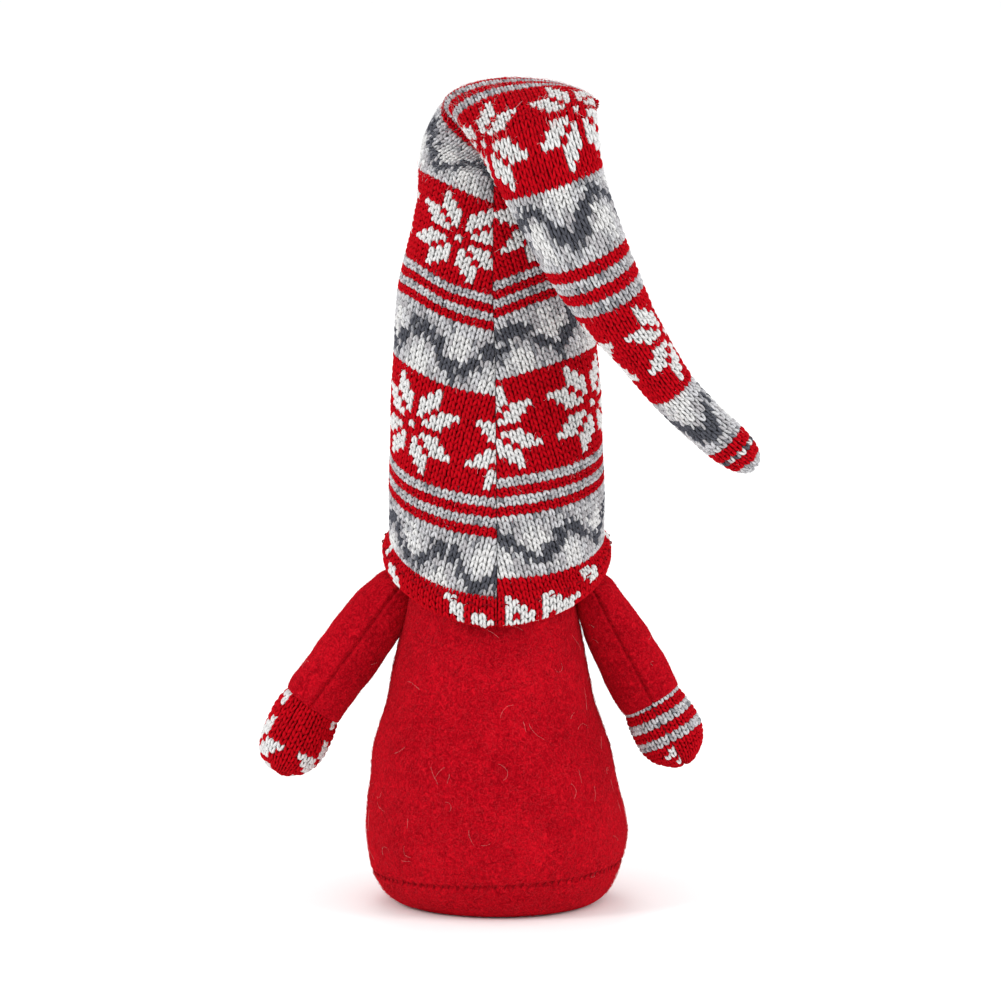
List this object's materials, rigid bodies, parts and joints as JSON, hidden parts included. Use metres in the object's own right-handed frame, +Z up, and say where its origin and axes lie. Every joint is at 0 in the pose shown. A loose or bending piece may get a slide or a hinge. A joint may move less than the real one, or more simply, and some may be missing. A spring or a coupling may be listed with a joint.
{
  "type": "tomte gnome figurine",
  "caption": "Soft table-top gnome with a weighted felt bell body, felt arms in knitted mittens, a long beard and a tall patterned knitted hat with a folded peak.",
  "frame": {"origin": "centre of the flat resting face of the base", "axes": "+Z up to the fold of the hat, -Y towards the face and beard, +X towards the gnome's own left arm"},
  "size_m": [0.1862, 0.1087, 0.3135],
  "materials": {
    "red_felt": "napped felt",
    "grey_knit": "heathered knitted yarn",
    "red_knit": "knitted yarn",
    "red_thread": "matt sewing thread",
    "nose_cloth": "smooth cloth",
    "beard_cloth": "woven backing",
    "beard_hair": "long curly pile",
    "stuffing": "loose fibre",
    "card": "plain card",
    "pellets": "bagged pellets"
  },
  "bodies": {
    "torso": {"body_felt": "red_felt", "base_felt": "red_felt", "base_card": "card", "pellet_bag": "pellets", "body_stuffing": "stuffing", "base_seam_thread": "red_thread", "hat_panel": "grey_knit", "hat_hem": "red_knit", "hem_thread": "red_thread", "hat_seam": "grey_knit", "hat_stuffing": "stuffing", "nose_cover": "nose_cloth", "nose_stuffing": "stuffing", "left_shoulder_thread": "red_thread", "right_shoulder_thread": "red_thread"},
    "beard": {"beard_backing": "beard_cloth", "beard_fur": "beard_hair"},
    "left_arm": {"left_sleeve": "red_felt", "left_mitten": "red_knit", "left_arm_stuffing": "stuffing"},
    "right_arm": {"right_sleeve": "red_felt", "right_mitten": "red_knit", "right_arm_stuffing": "stuffing"},
    "peak": {"hat_tail": "grey_knit", "tail_stuffing": "stuffing"}
  },
  "joints": [
    {"name": "left_arm_lift", "type": "hinge", "parent": "torso", "child": "left_arm", "pos_m": [0.038, 0, 0.1175], "axis": [0, -1, 0], "range_deg": [0, 50]},
    {"name": "right_arm_lift", "type": "hinge", "parent": "torso", "child": "right_arm", "pos_m": [-0.038, 0, 0.117], "axis": [0, 1, 0], "range_deg": [0, 50]},
    {"name": "beard_lift", "type": "hinge", "parent": "torso", "child": "beard", "pos_m": [0, -0.0275, 0.1155], "axis": [-1, 0, 0], "range_deg": [0, 25]},
    {"name": "peak_fold", "type": "hinge", "parent": "torso", "child": "peak", "pos_m": [-0.0086, 0.016, 0.3135], "axis": [1, 0, 0], "range_deg": [0, 75]}
  ]
}
